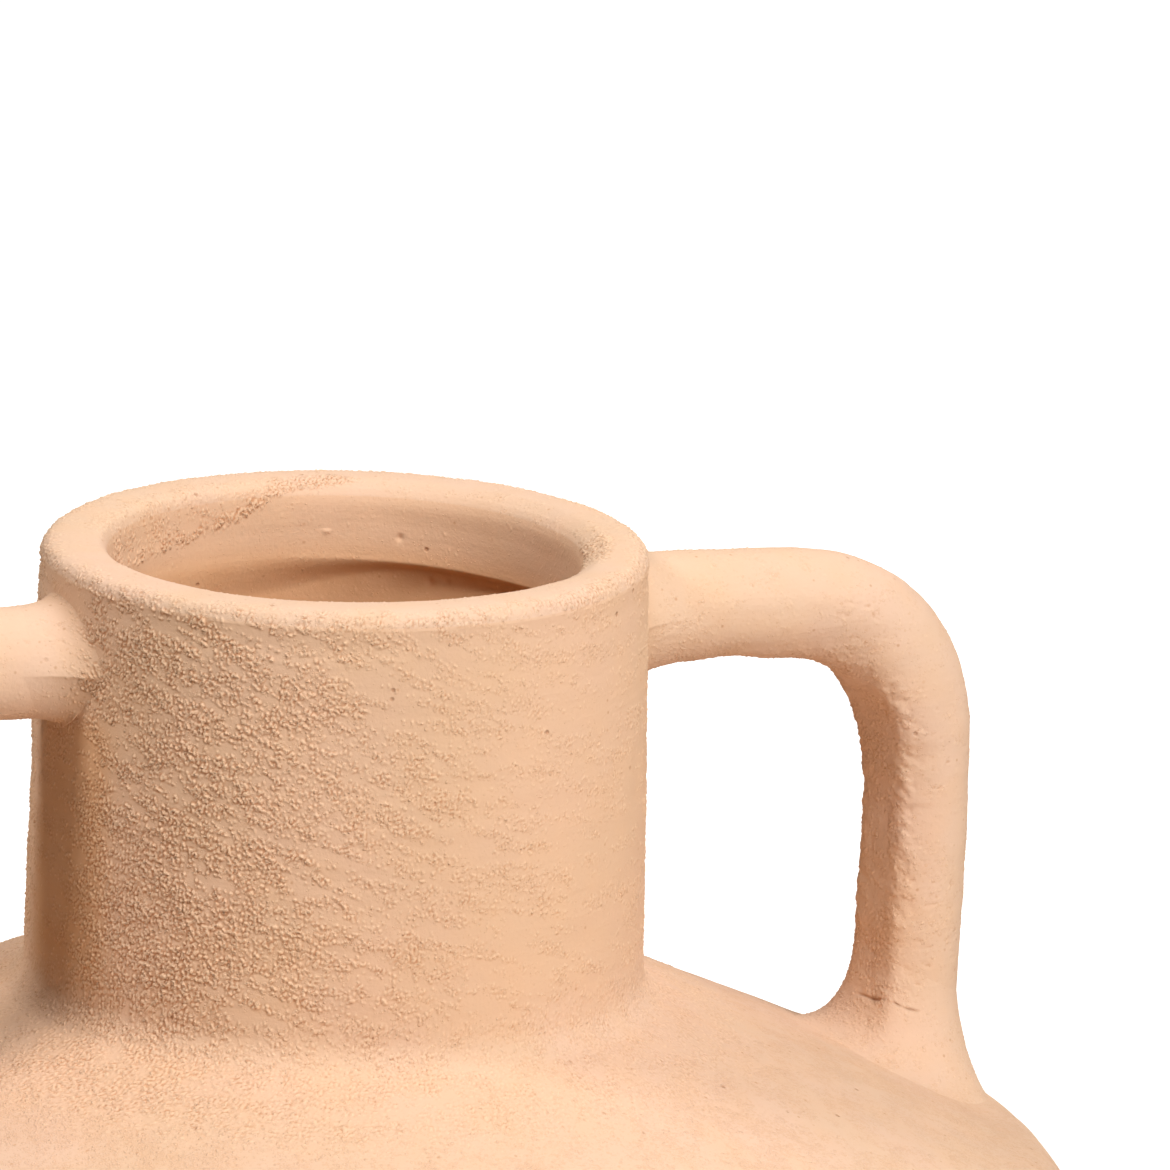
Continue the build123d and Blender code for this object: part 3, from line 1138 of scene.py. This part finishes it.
def make_floor():
    """A wide pale floor that keeps the vase's shadow and runs out to white."""
    mesh = bpy.data.meshes.new("floor")
    far = floor_reach
    corners = [(x, y, floor_level) for x, y in ((-far, -far), (far, -far), (far, far), (-far, far))]
    mesh.from_pydata(corners, [], [(0, 1, 2, 3)])
    material = bpy.data.materials.new("pale_floor")
    n = Nodes(material)
    plain = n.add("BsdfDiffuse", {"Color": floor_colour})
    where = n.add("TexCoord").outputs["Object"]
    from_vase = n.add("VectorMath", {0: where}, operation="LENGTH").outputs["Value"]
    glow_level = n.ramp(from_vase, 0.25, 1.1, 0.45, 1.0)
    glow = n.add("Emission", {"Color": white, "Strength": n.times(camera_only(n), glow_level)})
    both = n.add("AddShader", {0: plain.outputs[0], 1: glow.outputs[0]})
    n.add("OutputMaterial", {"Surface": both.outputs[0]})
    mesh.materials.append(material)
    new_object("floor", mesh)


def make_world(strength):
    world = bpy.data.worlds.new("studio")
    bpy.context.scene.world = world
    n = Nodes(world)
    seen = camera_only(n)
    level = n.add("MapRange", {"Value": seen, "To Min": strength, "To Max": 1.0}).outputs["Result"]
    background = n.add("Background", {"Color": white, "Strength": level})
    n.add("OutputWorld", {"Surface": background.outputs[0]})


# Lamps: name, angle to the right of the camera and height in degrees, size in metres and power in watts
lamp_distance = 1.9
lamps = (
    ("key", 38, 30, 1.2, 22.5),
    ("high_key", 40, 60, 1.0, 16),
    ("low_key", 35, 15, 1.2, 4.8),
    ("left", -72, 46, 0.4, 15.5),
    ("right", 95, 45, 1.2, 2.5),
    ("back", 180, 50, 1.0, 4),
    ("back_left", -150, 40, 0.6, 5),
    ("back_right", 150, 30, 1.0, 4.5),
)


def direction(azimuth, elevation):
    """The way from the vase towards a lamp or the camera, by angles in radians."""
    level = math.cos(elevation)
    return Vector((math.sin(azimuth) * level, -math.cos(azimuth) * level, math.sin(elevation)))


def make_light(name, azimuth, elevation, size, power):
    """A soft white square lamp that faces the vase's neck."""
    data = bpy.data.lights.new(name, "AREA")
    data.shape = "SQUARE"
    data.size = size
    data.energy = power
    lamp = new_object(name, data)
    toward = direction(view_azimuth + math.radians(azimuth), math.radians(elevation))
    target = Vector((0, 0, vase_height - 60 * mm))
    lamp.location = target + toward * lamp_distance
    lamp.rotation_mode = "QUATERNION"
    lamp.rotation_quaternion = toward.to_track_quat("Z", "Y")
    lamp.visible_camera = False


frame_pixels = 1170
lens_pixels = 8996.5
target_pixel = (345.08, 547.64)
view_elevation = math.radians(13.938)
view_roll = math.radians(1.52)
camera_distance = 1.7805


def make_camera():
    """The photograph's view: the mouth's middle lies at a given pixel of the square frame."""
    target = Vector((0, 0, vase_height - 1.6 * mm))
    back = direction(view_azimuth, view_elevation)
    right = Vector((math.cos(view_azimuth), math.sin(view_azimuth), 0))
    up = back.cross(right)
    tilted_right = right * math.cos(view_roll) + up * math.sin(view_roll)
    tilted_up = up * math.cos(view_roll) - right * math.sin(view_roll)
    facing = Matrix((tilted_right, tilted_up, back)).transposed()
    to_target = Vector(((target_pixel[0] - frame_pixels / 2) / lens_pixels,
                        (frame_pixels / 2 - target_pixel[1]) / lens_pixels, -1)).normalized()
    facing = facing @ to_target.rotation_difference(Vector((0, 0, -1))).to_matrix()
    data = bpy.data.cameras.new("camera")
    data.sensor_width = 36
    data.lens = lens_pixels * data.sensor_width / frame_pixels
    data.clip_start = 0.1
    data.clip_end = 60
    camera = new_object("camera", data)
    camera.location = target + back * camera_distance
    camera.rotation_mode = "QUATERNION"
    camera.rotation_quaternion = facing.to_quaternion()
    bpy.context.scene.camera = camera


make_floor()
make_world(world_fill)
for lamp in lamps:
    make_light(*lamp)
make_camera()
bpy.context.scene.view_settings.view_transform = "Standard"
